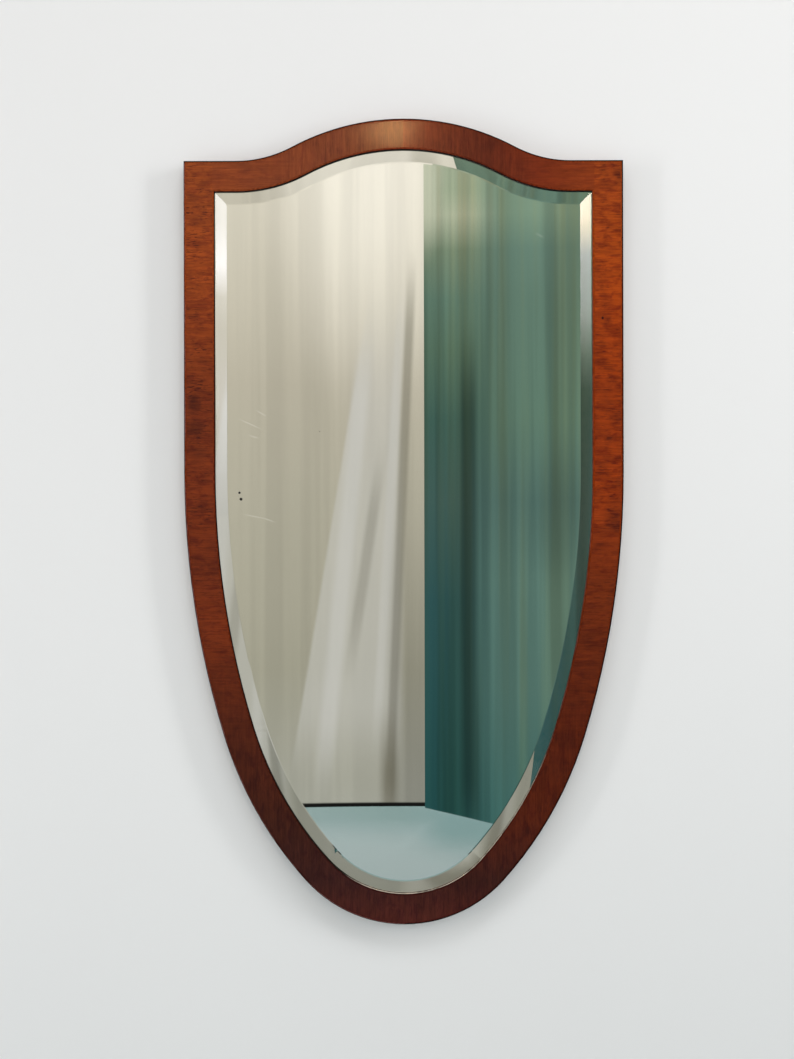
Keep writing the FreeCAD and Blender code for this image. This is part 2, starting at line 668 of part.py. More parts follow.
block_ring = shield_ring("block_ring", "Layout.rebate_inset", "Layout.rebate_inset + Sizes.block_width",
                         "Layout.block_back", "Layout.silver_back")
block_heights = [
    "Layout.haunch_z + Sizes.side_length * 0.75",
    "Layout.haunch_z + Sizes.side_length * 0.4",
    "Layout.haunch_z",
    "Layout.haunch_z - Sizes.point_drop * 0.3",
    "Layout.haunch_z - Sizes.point_drop * 0.6",
]
blocks = spread("plate_blocks", block_ring,
                up_the_side(block_heights, "Sizes.block_length")
                + across_the_axis(["-Layout.cove_reach / 3", "Layout.cove_reach / 3"], "Sizes.block_length",
                                  "Layout.haunch_z", HIGH)
                + across_the_axis(["0"], "Sizes.block_length", LOW, "Layout.toe_centre_z"))

# Back: three upright boards lapped over the back of the frame and screwed

board_slab = shield_slab("board_slab", "Layout.back_margin", WALL, "Layout.frame_back")
board_blank = remove("board_blank", board_slab, board_screw_holes)
centre_edge = "(Sizes.board_width - Sizes.board_gap) / 2"
side_edge = "(Sizes.board_width + Sizes.board_gap) / 2"
boards = [
    keep("back_board_left", board_blank,
         box("board_region_left", LEFT, mirrored(side_edge), LOW, HIGH, WALL, FRONT)),
    keep("back_board_centre", board_blank,
         box("board_region_centre", mirrored(centre_edge), centre_edge, LOW, HIGH, WALL, FRONT)),
    keep("back_board_right", board_blank,
         box("board_region_right", side_edge, RIGHT, LOW, HIGH, WALL, FRONT)),
]

# Hangers: a strap folded round the bar of a D-ring and screwed to the stile


def own_plane(body, role):
    return next(feature for feature in body.Origin.OriginFeatures if feature.Role == role)


def hanger_strap(side, x):
    """The folded strap; its own origin is the middle of the eye and the frame lies on its -Y side."""
    body = document.addObject("PartDesign::Body", f"hanger_strap_{side}_blank")
    sketch = body.newObject("Sketcher::SketchObject", f"strap_sketch_{side}")
    sketch.AttachmentSupport = (own_plane(body, "YZ_Plane"), "")
    sketch.MapMode = "FlatFace"
    lower = "-Layout.eye_radius"
    upper = "Layout.tab_thickness - Layout.eye_radius"
    fold = "-sqrt(Layout.eye_radius ^ 2 - (Layout.eye_radius - Layout.tab_thickness) ^ 2)"
    draw_outline(sketch, "fold", [
        line_to(lower, "0"),
        arc_to(upper, fold, "Layout.eye_radius", ("0", "0"), -1),
        line_to(upper, "-Sizes.strap_length"),
        line_to(lower, "-Sizes.strap_length"),
    ])
    draw_circle(sketch, "eye", "Layout.eye_bore")
    pad = body.newObject("PartDesign::Pad", f"strap_pad_{side}")
    pad.Profile = sketch
    pad.SideType = "Symmetric"
    bind(pad, Length="Sizes.strap_width")
    body.Tip = pad
    place(body, x, "Layout.eye_stand", "Layout.hanger_z")
    return remove(f"hanger_strap_{side}", body, hanger_screw_holes)


def hanger_ring(side, x):
    """The D-ring of bent wire; its origin is the middle of its bar, and it hangs tipped off the strap."""
    body = document.addObject("PartDesign::Body", f"hanger_ring_{side}")
    path = body.newObject("Sketcher::SketchObject", f"ring_path_{side}")
    path.AttachmentSupport = (own_plane(body, "XZ_Plane"), "")
    path.MapMode = "FlatFace"
    half = "Layout.ring_half"
    bend = "Sizes.ring_bend"
    knee = "-(Sizes.ring_bend + Sizes.ring_leg)"
    draw_outline(path, "wire", [
        line_to(f"{half} - {bend}", "0"),
        arc_to(half, f"-{bend}", bend, (f"{half} - {bend}", f"-{bend}"), -1),
        line_to(half, knee),
        arc_to("0", f"{knee} - {half}", half, ("0", knee), -1),
        arc_to(f"-{half}", knee, half, ("0", knee), -1),
        line_to(f"-{half}", f"-{bend}"),
        arc_to(f"{bend} - {half}", "0", bend, (f"{bend} - {half}", f"-{bend}"), -1),
        line_to("0", "0"),
    ])
    profile = body.newObject("Sketcher::SketchObject", f"ring_profile_{side}")
    profile.AttachmentSupport = (own_plane(body, "YZ_Plane"), "")
    profile.MapMode = "FlatFace"
    draw_circle(profile, "wire", "Sizes.ring_wire / 2")
    document.recompute()
    pipe = body.newObject("PartDesign::AdditivePipe", f"ring_pipe_{side}")
    pipe.Profile = profile
    pipe.Spine = (path, [f"Edge{number + 1}" for number in range(path.GeometryCount)])
    body.Tip = pipe
    body.Placement = FreeCAD.Placement(FreeCAD.Vector(), FreeCAD.Rotation(FreeCAD.Vector(1, 0, 0), 6))
    body.setExpression("Placement.Rotation.Angle", "Sizes.ring_tilt")
    place(body, x, "Layout.eye_stand", "Layout.hanger_z")
    return body


hangers = []
for side, x in (("left", "-Layout.hanger_x"), ("right", "Layout.hanger_x")):
    hangers.append(hanger_strap(side, x))
    hangers.append(hanger_ring(side, x))

document.recompute()

# Check every object, then write one STEP file to each sub-part
for feature in document.Objects:
    if "Invalid" in feature.State or "Error" in feature.State:
        raise RuntimeError(f"{feature.Name} did not build: {feature.State}")

frame_parts = ground_pieces + [lap_pegs] + veneers + lippings
plate_parts = [mirror_glass, silvering, shims, blocks]
sub_parts = frame_parts + plate_parts + boards + [board_screws] + hangers + [hanger_screws]
os.makedirs("parts", exist_ok=True)
for part in sub_parts:
    shape = part.Shape
    if shape.isNull() or not shape.isValid() or not shape.Solids:
        raise RuntimeError(f"{part.Label} is not a sound solid")
    shape.exportStep(f"parts/{part.Label}.step")
    print(part.Label, len(shape.Solids), round(shape.Volume, 1))
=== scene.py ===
import math

import bpy
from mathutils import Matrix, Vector

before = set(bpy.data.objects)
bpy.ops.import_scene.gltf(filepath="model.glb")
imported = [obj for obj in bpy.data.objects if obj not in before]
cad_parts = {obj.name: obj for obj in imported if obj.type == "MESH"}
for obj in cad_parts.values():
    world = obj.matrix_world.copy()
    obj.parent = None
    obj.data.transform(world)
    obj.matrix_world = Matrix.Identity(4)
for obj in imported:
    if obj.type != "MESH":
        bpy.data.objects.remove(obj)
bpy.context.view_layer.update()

# Ground frame: a top rail, two stiles, two haunches and a toe, sawn from slow-grown deal.
# The pieces are half-lapped, glued and pegged. Only their backs and the rebate stay bare,
# and there the planed wood has browned with age.


class Layer:
    """One layer of a finish: a socket whose arithmetic adds Math nodes to its material."""

    def __init__(self, socket):
        self.socket = socket

    def node(self, kind, settings, inputs, output=0):
        """One more node of the material: its settings first, then its sockets by name or number."""
        tree = self.socket.id_data
        made = tree.nodes.new("ShaderNode" + kind)
        for name, setting in settings.items():
            if name == "stops":
                set_stops(made.color_ramp.elements, setting)
            else:
                setattr(made, name, setting)
        for name, content in inputs.items():
            if isinstance(content, Layer):
                tree.links.new(content.socket, made.inputs[name])
            else:
                made.inputs[name].default_value = content
        return Layer(made.outputs[output])

    def maths(self, operation, *terms):
        return self.node("Math", {"operation": operation}, dict(enumerate(terms)))

    def __add__(self, other):
        return self.maths("ADD", self, other)

    def __radd__(self, other):
        return self.maths("ADD", other, self)

    def __sub__(self, other):
        return self.maths("SUBTRACT", self, other)

    def __rsub__(self, other):
        return self.maths("SUBTRACT", other, self)

    def __mul__(self, other):
        return self.maths("MULTIPLY", self, other)

    def __rmul__(self, other):
        return self.maths("MULTIPLY", other, self)


def set_stops(elements, stops):
    """Gives a colour ramp its stops, in rising order."""
    for element, (position, colour) in zip((elements[0], elements[-1]), (stops[0], stops[-1])):
        element.position = position
        element.color = colour
    for position, colour in stops[1:-1]:
        elements.new(position).color = colour


def seen(red, green, blue):
    """A colour as the eye sees it on a scale of 255, in the linear numbers of a shader."""
    shares = [channel / 255 for channel in (red, green, blue)]
    linear = [share / 12.92 if share <= 0.04045 else ((share + 0.055) / 1.055) ** 2.4
              for share in shares]
    return (*linear, 1.0)


def finish(name, **constants):
    """A new material, its shader with the constants set, and the point that is shaded, in metres."""
    material = bpy.data.materials.new(name)
    material.use_nodes = True
    shader = material.node_tree.nodes["Principled BSDF"]
    for socket, constant in constants.items():
        shader.inputs[socket.replace("_", " ")].default_value = constant
    point = Layer(material.node_tree.nodes.new("ShaderNodeTexCoord").outputs["Object"])
    return material, shader, point


def lay(shader, **layers):
    """Feeds layers to the shader's sockets."""
    for socket, layer in layers.items():
        layer.socket.id_data.links.new(layer.socket, shader.inputs[socket.replace("_", " ")])


def dress(material, *nodes):
    """Gives the finish to pieces of the frame."""
    for node in nodes:
        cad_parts[node].material_slots[0].material = material


def axis(point, number):
    """One coordinate of the point: 0 across, 1 into the wall, 2 up."""
    return point.node("SeparateXYZ", {}, {0: point}, number)


def scaled(point, factors):
    return point.node("VectorMath", {"operation": "MULTIPLY"}, {0: point, 1: factors})


def rise(layer, low, high):
    """0 below low and 1 above high, with a soft step between them."""
    settings = {"interpolation_type": "SMOOTHSTEP"}
    return layer.node("MapRange", settings, {"Value": layer, "From Min": low, "From Max": high})


def mottle(point, size, detail=2.0):
    """Cloudy noise with patches of about one size."""
    return point.node("TexNoise", {}, {"Vector": point, "Scale": 1 / size, "Detail": detail})


def streaks(point, width, fibre, detail=2.0, wave=0.0):
    """Noise drawn out along the fibre into lines of about one width, which a wave makes wander."""
    drawn = scaled(point, [share / width for share in fibre])
    inputs = {"Vector": drawn, "Scale": 1.0, "Detail": detail, "Distortion": wave}
    return point.node("TexNoise", {}, inputs)


def mixed(factor, under, over):
    """The under colour where the factor is 0, the over colour where it is 1."""
    return factor.node("Mix", {"data_type": "RGBA"}, {0: factor, 6: under, 7: over}, 2)


def shaded(colour, factor):
    """A colour made lighter or darker."""
    return factor.node("VectorMath", {"operation": "SCALE"}, {0: colour, "Scale": factor})


def raised(height, depth, strength=1.0):
    """The bumps of a surface, from their height and how deep the deepest are, in metres."""
    return height.node("Bump", {}, {"Strength": strength, "Distance": depth, "Height": height})


def either(first, *others):
    """The strongest of several layers at each point."""
    for other in others:
        first = first.maths("MAXIMUM", first, other)
    return first


DEAL_PALE = seen(186, 146, 100)
DEAL_LATE = seen(138, 93, 54)
DEAL_KNOT = seen(78, 46, 28)
DEAL_GRIME_AND_SHADE = seen(74, 54, 38)
DEAL_TILT = 2.2
FRAME_SHADE = 0.84
HAUNCH_SHADE = 0.8
HAUNCH_TURN = 17


def deal(name, turn, heart, ring=0.0032, shade=1.0, joints=()):
    """Deal whose fibre leans from upright by a turn in degrees.

    Heart is where the middle of the tree lay, and ring how far apart its rings are. Grime, and a
    painted shade of the joint gap, darken the wood beside upright joints, which are given by how
    far across they are.
    """
    material, shader, point = finish(name, Specular_IOR_Level=0.25)
    lean = (math.radians(DEAL_TILT), math.radians(turn), 0.0)
    plank = point.node("Mapping", {}, {"Vector": point, "Rotation": lean, "Location": heart})
    wander = mottle(scaled(plank, (1.0, 1.0, 0.12)), 0.035)
    knots = plank.node("TexVoronoi", {}, {"Vector": scaled(plank, (7.0, 3.0, 3.2)), "Scale": 1.0})
    knot = 1 - rise(knots, 0.06, 0.08)
    swirl = 1 - rise(knots, 0.0, 0.45)
    reach = scaled(plank, (1.0, 1.0, 0.0))
    reach = reach.node("VectorMath", {"operation": "LENGTH"}, {0: reach}, 1)
    turns = (reach + 0.012 * wander + 0.010 * swirl) * (1 / ring)
    late = turns.maths("FRACT", turns)
    late = late * late
    pores = streaks(plank, 0.0008, (1.0, 1.0, 0.03))
    planed = streaks(plank, 0.014, (1.0, 1.0, 0.02))
    damp = mottle(scaled(point, (1.0, 1.0, 0.6)), 0.2, 5.0)
    tide = rise(damp, 0.55, 0.565) * (1 - rise(damp, 0.565, 0.62))
    wood = mixed(late * 0.8, DEAL_PALE, DEAL_LATE)
    wood = mixed(knot * (0.7 + 0.3 * late), wood, DEAL_KNOT)
    grime_and_joint_shade = either(0.3 * rise(damp, 0.5, 0.8), 0.22 * tide)
    # Beside each joint: grime, and a painted shade of the joint gap.
    for joint in joints:
        beside = axis(point, 0) - joint
        grime_and_joint_shade = either(grime_and_joint_shade, 0.7 - 0.7 * rise(beside.maths("ABSOLUTE", beside), 0.0006, 0.004))
    wood = mixed(grime_and_joint_shade, wood, DEAL_GRIME_AND_SHADE)
    wood = shaded(wood, (0.68 + 0.36 * pores + 0.24 * planed) * shade)
    lay(shader, Base_Color=wood, Roughness=0.62 + 0.2 * pores)
    lay(shader, Normal=raised(pores + late * 0.5 + planed * 0.5, 0.0004, 0.5))
    return material


dress(deal("deal_rail", 90, (0.01, 0.03, 0.0), shade=FRAME_SHADE), "top_rail")
dress(deal("deal_toe", 90, (0.02, 0.035, 0.3), shade=FRAME_SHADE), "toe_piece")
dress(deal("deal_stile", 0, (0.02, 0.03, 0.0), shade=FRAME_SHADE), "stile_left", "stile_right")
left_haunch = deal("deal_haunch_left", HAUNCH_TURN, (0.03, 0.03, 0.1), shade=HAUNCH_SHADE)
dress(left_haunch, "haunch_left")
right_haunch = deal("deal_haunch_right", -HAUNCH_TURN, (-0.03, 0.03, 0.1), shade=HAUNCH_SHADE)
dress(right_haunch, "haunch_right")

# Lap pegs: turned beech pins, glued through the half-laps and pared off flush.
# Their end grain shows on the back as small discs, browner than the planed wood where glue soaked in.

PEG_PALE = seen(150, 104, 62)
PEG_FLECK = seen(96, 62, 36)

peg_wood, peg_shader, peg_point = finish("peg_end_grain", Specular_IOR_Level=0.25)
peg_flecks = mottle(peg_point, 0.0009, 3.0)
peg_clouds = mottle(peg_point, 0.012)
peg_colour = shaded(mixed(peg_flecks, PEG_PALE, PEG_FLECK), 0.8 + 0.4 * peg_clouds)
lay(peg_shader, Base_Color=peg_colour, Roughness=0.6 + 0.2 * peg_flecks)
lay(peg_shader, Normal=raised(peg_flecks, 0.0002))
dress(peg_wood, "lap_pegs")

# Stile veneers: saw-cut mahogany, laid with the fibre across the stile and French-polished.
# Its figure swings from deep red to gold, short dark dashes and smoky marks cross it,
# and the left one is browner than the right one, partly with a painted haze of reflections.
# Their colour darkens downwards as painted shade.

# Painted shade: these colours darken towards the point, where less light comes off the fibre.
BROWN_SIDE = [(-0.605, seen(74, 30, 25)), (-0.54, seen(55, 24, 22)), (-0.45, seen(58, 24, 16)),
              (-0.30, seen(76, 29, 15)), (-0.15, seen(108, 41, 16)), (-0.07, seen(98, 37, 16)),
              (0.05, seen(109, 42, 17)), (0.17, seen(106, 42, 18)), (0.30, seen(127, 53, 19)),
              (0.41, seen(140, 60, 22)), (0.54, seen(131, 59, 25))]
RED_SIDE = [(-0.605, seen(74, 30, 25)), (-0.54, seen(54, 22, 18)), (-0.45, seen(76, 27, 13)),
            (-0.30, seen(84, 29, 11)), (-0.10, seen(105, 39, 12)), (0.05, seen(130, 46, 9)),
            (0.17, seen(126, 44, 8)), (0.30, seen(137, 50, 8)), (0.41, seen(146, 58, 12)),
            (0.54, seen(133, 54, 18))]
MAHOGANY_SMOKE = seen(40, 14, 12)
MAHOGANY_DEEP = (0.58, 0.42, 0.62)
MAHOGANY_GOLD = (1.26, 1.34, 1.02)
LEVEL = (0.05, 1.0, 1.0)


def along(coordinate, stops):
    """A colour that changes along one coordinate, from stops in metres."""
    low, high = stops[0][0], stops[-1][0]
    share = (coordinate - low) * (1 / (high - low))
    settings = {"stops": [((position - low) / (high - low), colour) for position, colour in stops]}
    return share.node("ValToRGB", settings, {"Fac": share})


def distance(point, x, z, wide, high, lean=0.0):
    """How far the point lies from x and z on the face, where 1 is the rim of an oval that may lean."""
    offset = point.node("VectorMath", {"operation": "SUBTRACT"}, {0: point, 1: (x, 0.0, z)})
    if lean:
        settings = {"rotation_type": "Y_AXIS"}
        offset = offset.node("VectorRotate", settings, {"Vector": offset, "Angle": math.radians(lean)})
    offset = scaled(offset, (2 / wide, 0.0, 2 / high))
    return offset.node("VectorMath", {"operation": "LENGTH"}, {0: offset}, 1)


def shaded_side_tone(point):
    """Brown on the left, red on the right, with painted shade towards the point of the shield."""
    height = axis(point, 2)
    side = rise(axis(point, 0), -0.06, 0.06)
    return mixed(side, along(height, BROWN_SIDE), along(height, RED_SIDE))


def mahogany(name, tone, lie, figured, dashes, smoke, marks=()):
    """Polished mahogany. Tone gives its colour at a point, and lie draws a figure along its fibre.

    Figured is how far the figure swings from deep red to gold. Dashes and smoke are how strong
    the dark marks are.
    """
    material, shader, point = finish(name, Specular_IOR_Level=0.06, Coat_Roughness=0.11)

    def figure(width, shortest, detail, wave):
        """Streaks of one width along the fibre, no more drawn out than the shortest share."""

        def drawn(fibre):
            return streaks(point, width, [max(share, shortest) for share in fibre], detail, wave)

        return lie(drawn, point)

    fine = rise(figure(0.0014, 0.05, 2.0, 0.0), 0.32, 0.68)
    stripe = rise(figure(0.0034, 0.05, 2.0, 0.2), 0.34, 0.66)
    ragged = 0.6 * figure(0.011, 0.45, 3.0, 0.8) + 0.25 * figure(0.003, 0.12, 2.0, 0.5)
    ragged = ragged + 0.15 * figure(0.002, 0.4, 2.0, 0.0)
    curl = rise(ragged, 0.42, 0.66)
    crowd = rise(mottle(point, 0.03), 0.44, 0.6)
    tick = rise(figure(0.0012, 0.12, 1.0, 0.6), 0.57, 0.64) * (0.25 + 0.75 * crowd) * dashes
    line = rise(figure(0.0016, 0.05, 0.0, 0.4), 0.62, 0.67) * rise(mottle(point, 0.016), 0.46, 0.62)
    cloud = rise(mottle(point, 0.026, 4.0), 0.42, 0.74) * smoke
    cloud = either(cloud, *[mark(point) * (0.4 + 0.35 * curl + 0.25 * fine) for mark in marks])
    ground = tone(point)
    deep, gold = [scaled(ground, [1 + (factor - 1) * figured for factor in factors])
                  for factors in (MAHOGANY_DEEP, MAHOGANY_GOLD)]
    wood = shaded(mixed(curl, gold, deep), 0.8 + 0.2 * fine + 0.22 * stripe)
    wood = mixed(cloud, wood, MAHOGANY_SMOKE)
    wood = mixed(either(tick, 0.6 * figured * line), wood, MAHOGANY_SMOKE)
    rough = 0.34 + 0.14 * fine + 0.1 * tick
    worn = mottle(point, 0.05)
    lay(shader, Base_Color=wood, Roughness=rough, Coat_Weight=0.08 + 0.16 * worn)
    lay(shader, Normal=raised(fine - tick, 0.0002, 0.2))
    return material


def level(figure, point):
    """Draws a figure along a level fibre."""
    return figure(LEVEL)


def smudge(x, z, wide, high, strength):
    """A mark with soft edges."""
    return lambda point: strength * (1 - rise(distance(point, x, z, wide, high), 0.1, 1.5))


smoky_marks = [
    smudge(-0.315, 0.178, 0.022, 0.034, 0.8),
    smudge(-0.313, 0.141, 0.026, 0.030, 0.75),
    smudge(-0.310, 0.103, 0.028, 0.022, 0.6),
    smudge(-0.307, 0.455, 0.036, 0.034, 0.4),
    smudge(-0.318, 0.484, 0.026, 0.022, 0.45),
]
left_stile = mahogany("mahogany_stile_left", shaded_side_tone, level,
                      figured=0.65, dashes=0.7, smoke=0.2, marks=smoky_marks)
dress(left_stile, "stile_veneer_left")

pin_hole = smudge(0.2984, 0.3048, 0.0038, 0.0042, 3.0)
dark_marks = [
    smudge(0.324, 0.518, 0.022, 0.040, 0.6),
    smudge(0.320, 0.154, 0.026, 0.020, 0.5),
    smudge(0.322, 0.058, 0.026, 0.016, 0.65),
    smudge(0.317, -0.004, 0.030, 0.075, 0.7),
]
right_stile = mahogany("mahogany_stile_right", shaded_side_tone, level,
                       figured=0.9, dashes=0.4, smoke=0.2, marks=[pin_hole, *dark_marks])
dress(right_stile, "stile_veneer_right")

# Lower veneers: two lengths of the same mahogany that meet at the point of the shield.
# Their fibre turns from level at the stile to upright at the point, and the wood is painted darker
# there as shade.

UPRIGHT = (1.0, 1.0, 0.05)


def turning(figure, point):
    """Draws a figure along a fibre that turns upright lower down."""
    stood = 1 - rise(axis(point, 2), -0.42, -0.16)
    return stood * figure(UPRIGHT) + (1 - stood) * figure(LEVEL)


lower_wood = mahogany("mahogany_lower", shaded_side_tone, turning, figured=0.6, dashes=0.3, smoke=0.2)
dress(lower_wood, "lower_veneer_left", "lower_veneer_right")

# Crest veneers: two book-matched leaves of mahogany with upright fibre, jointed at the top of the arch.
# The left leaf is browner and the right one redder, and darker half way to the shoulder.
# Their colours hold painted light: a painted sheen on the left leaf, and a painted highlight where
# the right leaf meets the joint.

# The left stops carry a painted sheen, and the right stop at the joint a painted highlight.
BROWN_CREST = [(-0.285, seen(129, 58, 26)), (-0.12, seen(114, 54, 30)), (0.0, seen(117, 56, 31))]
RED_CREST = [(0.0, seen(122, 48, 24)), (0.06, seen(104, 43, 23)), (0.12, seen(86, 33, 18)),
             (0.2, seen(107, 38, 15)), (0.285, seen(127, 51, 17))]


def standing(figure, point):
    """Draws a figure along a fibre that stands upright in the arch and lies level at the shoulders."""
    across = axis(point, 0)
    laid = rise(across.maths("ABSOLUTE", across), 0.14, 0.22)
    return laid * figure(LEVEL) + (1 - laid) * figure(UPRIGHT)


def crest_tone(stops):
    """A colour that changes from side to side."""
    return lambda point: along(axis(point, 0), stops)


for side, stops in (("left", BROWN_CREST), ("right", RED_CREST)):
    leaf = mahogany("mahogany_crest_" + side, crest_tone(stops), standing,
                    figured=0.3, dashes=0.2, smoke=0.15)
    dress(leaf, "crest_veneer_" + side)

# Lippings: thin strips of mahogany, bent and glued round the outer edge and the sight edge.
# On the face they pass for veneer, and their edges are stained nearly black, darkest at the arris
# with painted shade. Handling has rubbed them, and the rubbed colour on the left edge is mostly a
# painted sheen. The sight edge has a painted highlight at the toe and on the lower right, with a
# line of painted shade beside it.

# The stain is partly painted shade, the rubbed colour partly a painted sheen, the toe a highlight.
LIPPING_STAIN_SHADE = seen(26, 11, 9)
LIPPING_RUBBED_SHEEN = seen(128, 84, 80)
LIPPING_SIDE = seen(56, 28, 20)
LIPPING_TOE_HIGHLIGHT = seen(240, 224, 204)
FACE = 0.032
SKIN = 0.00015


def lipping(name, tone, stained, wear_and_sheen, toe_highlight=0.0):
    """Strip that passes for veneer on the face, and is stained from a depth behind the face.

    Wear_and_sheen is how far it is rubbed, in a colour that is partly a painted sheen. Toe_highlight
    is how strong the painted highlight on the sight edge at the toe is, with painted shade beside it.
    The stain is partly painted shade along the edge.
    """
    material, shader, point = finish(name, Specular_IOR_Level=0.03, Coat_Roughness=0.25)
    fine = rise(streaks(point, 0.0011, (0.3, 1.0, 0.3), 3.0), 0.28, 0.72)
    depth = FACE + axis(point, 1)
    # Rubbed: wear, and on the left edge mostly a painted sheen in mauve.
    rubbed = rise(depth, 0.00002, SKIN) * rise(mottle(point, 0.04, 3.0), 0.3, 0.62) * wear_and_sheen
    wood = mixed(rubbed, tone(point), LIPPING_RUBBED_SHEEN)
    # At the toe: painted shade on the face edge, and a painted highlight on the rounded sight edge.
    toe = (1 - rise(axis(point, 2), -0.46, -0.3)) * rise(axis(point, 0), -0.1, -0.05) * toe_highlight
    stain_and_shade = either(rise(depth, stained * 0.3, stained), rise(depth, 0.00005, SKIN) * toe)
    edge = mixed(rise(depth, 0.0028, 0.006), LIPPING_STAIN_SHADE, LIPPING_SIDE)
    wood = mixed(stain_and_shade, wood, edge)
    arris_highlight = rise(depth, 0.0005, 0.0007) * (1 - rise(depth, 0.0040, 0.0048)) * toe
    wood = mixed(arris_highlight * rise(mottle(point, 0.03, 3.0), 0.3, 0.45), wood, LIPPING_TOE_HIGHLIGHT)
    wood = shaded(wood, 0.6 + 0.6 * fine)
    polish = 0.3 * rise(depth, 0.0025, 0.005)
    lay(shader, Base_Color=wood, Roughness=0.42 + 0.16 * fine, Coat_Weight=polish + 0.12 * rubbed)
    lay(shader, Normal=raised(fine, 0.0002, 0.25))
    return material


# The top strips take the crest colours, with their painted sheen and highlight.
strip_tone = crest_tone(BROWN_CREST[:-1] + RED_CREST)
dress(lipping("lipping_edge_top", strip_tone, stained=SKIN, wear_and_sheen=0.1), "edge_lipping_top")
dress(lipping("lipping_edge_left", shaded_side_tone, stained=0.0011, wear_and_sheen=0.8), "edge_lipping_left")
dress(lipping("lipping_edge_right", shaded_side_tone, stained=SKIN, wear_and_sheen=0.3), "edge_lipping_right")
dress(lipping("lipping_sight_top", strip_tone, stained=0.0008, wear_and_sheen=0.1), "sight_lipping_top")
dress(lipping("lipping_sight_left", shaded_side_tone, SKIN, wear_and_sheen=0.3, toe_highlight=0.9), "sight_lipping_left")
dress(lipping("lipping_sight_right", shaded_side_tone, 0.012, wear_and_sheen=0.3, toe_highlight=0.9), "sight_lipping_right")

# Mirror plate: 6 mm polished plate glass with a ground and polished bevel all round, lying in the rebate.
# It has the faint green of plate glass, a very slight wave, and a few hair scratches from cleaning.
# The scratches glow faintly, a painted glint.
# Its back face is clear, so that only the silvering behind it is seen.

BACK_FACE = (0.02325, 0.02335)
GLASS_TINTS = (0.975, 0.99, 0.978, 1.0), (0.985, 0.995, 0.987, 1.0)
HAIRLINES = [(-0.231, 0.147, 0.050, 24), (-0.214, 0.163, 0.026, 31), (-0.226, 0.128, 0.022, 18),
             (-0.225, 0.008, 0.044, 12), (-0.204, 0.003, 0.030, 20), (0.205, 0.430, 0.020, 28)]
HAIRLINE_WIDTH = 0.0020
HAIRLINE_GLOW_COLOUR = (1.0, 0.99, 0.94)
HAIRLINE_GLINT = 0.07

plate_glass, glass_shader, glass_point = finish("plate_glass", Transmission_Weight=1.0, IOR=1.51,
                                                Emission_Strength=HAIRLINE_GLINT)
front = rise(0 - axis(glass_point, 1), *BACK_FACE)
glass_wave = mottle(glass_point, 0.22, 1.0)
hairlines = [rise(distance(glass_point, x, z, length, HAIRLINE_WIDTH, -lean), 0.2, 1.0)
             for x, z, length, lean in HAIRLINES]
scratch = either(*[1 - hairline for hairline in hairlines]) * front
lay(glass_shader, Base_Color=mixed(glass_wave, *GLASS_TINTS), Roughness=0.1 * scratch, Alpha=front)
# Painted glint: the hair scratches glow faintly.
lay(glass_shader, Emission_Color=shaded(HAIRLINE_GLOW_COLOUR, scratch))
lay(glass_shader, Normal=raised(glass_wave, 0.0004, 0.2))
dress(plate_glass, "mirror_glass")

# Silvering: a film of silver on the back of the plate, under a coat of paint that the boards hide.
# It has a few black pinholes where the film has lifted. It stands a hair off the glass here,
# so that the two faces do not lie in one plane.

SILVERS = (0.90, 0.91, 0.89, 1.0), (0.94, 0.945, 0.93, 1.0)
PINHOLE_BLACK = (0.012, 0.011, 0.010, 1.0)
PINHOLES = [(-0.2476, 0.0438, 0.0040), (-0.2452, 0.0342, 0.0048)]
FILM_GAP = 0.00002

silver_film, silver_shader, silver_point = finish("silver_film")
holes = [rise(distance(silver_point, x, z, across, across), 0.75, 1.05) for x, z, across in PINHOLES]
pepper = silver_point.node("TexVoronoi", {}, {"Vector": silver_point, "Scale": 14.0})
pinhole = either(1 - rise(pepper, 0.008, 0.012), *[1 - hole for hole in holes])
silver = mixed(mottle(silver_point, 0.09), *SILVERS)
lay(silver_shader, Base_Color=mixed(pinhole, silver, PINHOLE_BLACK))
lay(silver_shader, Metallic=1 - pinhole, Roughness=0.5 * pinhole)
dress(silver_film, "silvering")
film_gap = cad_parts["silvering"].modifiers.new("film_gap", "DISPLACE")
film_gap.direction = "Y"
film_gap.mid_level = 0.0
film_gap.strength = FILM_GAP

# Shims and wedge blocks: slips of deal that centre the plate, and sawn blocks rubbed in with hide glue.
# The blocks hold the plate against the lip, and the back boards hide them.

dress(deal("deal_slips", 0, (0.01, 0.02, 0.0), ring=0.0022), "plate_shims")
dress(deal("deal_blocks", 0, (0.03, 0.02, 0.2), ring=0.0026), "plate_blocks")

# Back boards: three upright boards of the same deal, planed outside and lapped over the frame's back.
# They keep dust from the silvering, and are browned by air and by the wall. Beside their joints
# the wood is darkened, partly by grime and partly by a painted shade of the joint gap.

SEAM = 0.095

left_board = deal("deal_board_left", 0.6, (0.22, 0.035, 0.0), 0.0045, 0.96, [-SEAM])
dress(left_board, "back_board_left")
centre_board = deal("deal_board_centre", 0, (0.05, 0.045, 0.7), 0.006, 1.08, [-SEAM, SEAM])
dress(centre_board, "back_board_centre")
right_board = deal("deal_board_right", -0.8, (-0.16, 0.02, 0.35), 0.0038, 0.9, [SEAM])
dress(right_board, "back_board_right")

# Back board screws: slotted countersunk iron screws, their heads just below the boards.
# The filed heads have gone grey-brown, with rust starting in patches.


